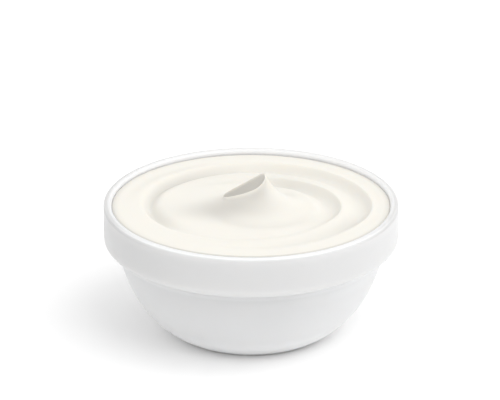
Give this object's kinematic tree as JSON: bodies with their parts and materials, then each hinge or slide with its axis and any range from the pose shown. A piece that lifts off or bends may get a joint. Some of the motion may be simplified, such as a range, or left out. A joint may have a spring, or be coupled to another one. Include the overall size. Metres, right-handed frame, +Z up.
{
  "type": "bowl of yogurt",
  "caption": "Round glazed ceramic bowl with a straight collar, filled with plain yogurt that is stirred into a spiral and drawn up to a folded peak.",
  "frame": {"origin": "centre of the bowl's foot, on the surface it stands on", "axes": "+Z up along the bowl's axis, +X to the right of the picture, +Y away from the viewer"},
  "size_m": [0.12, 0.12, 0.0662],
  "materials": {
    "porcelain": "white gloss glaze",
    "yogurt": "moist satin"
  },
  "bodies": {
    "root": {"bowl": "porcelain", "yogurt": "yogurt"}
  },
  "joints": []
}
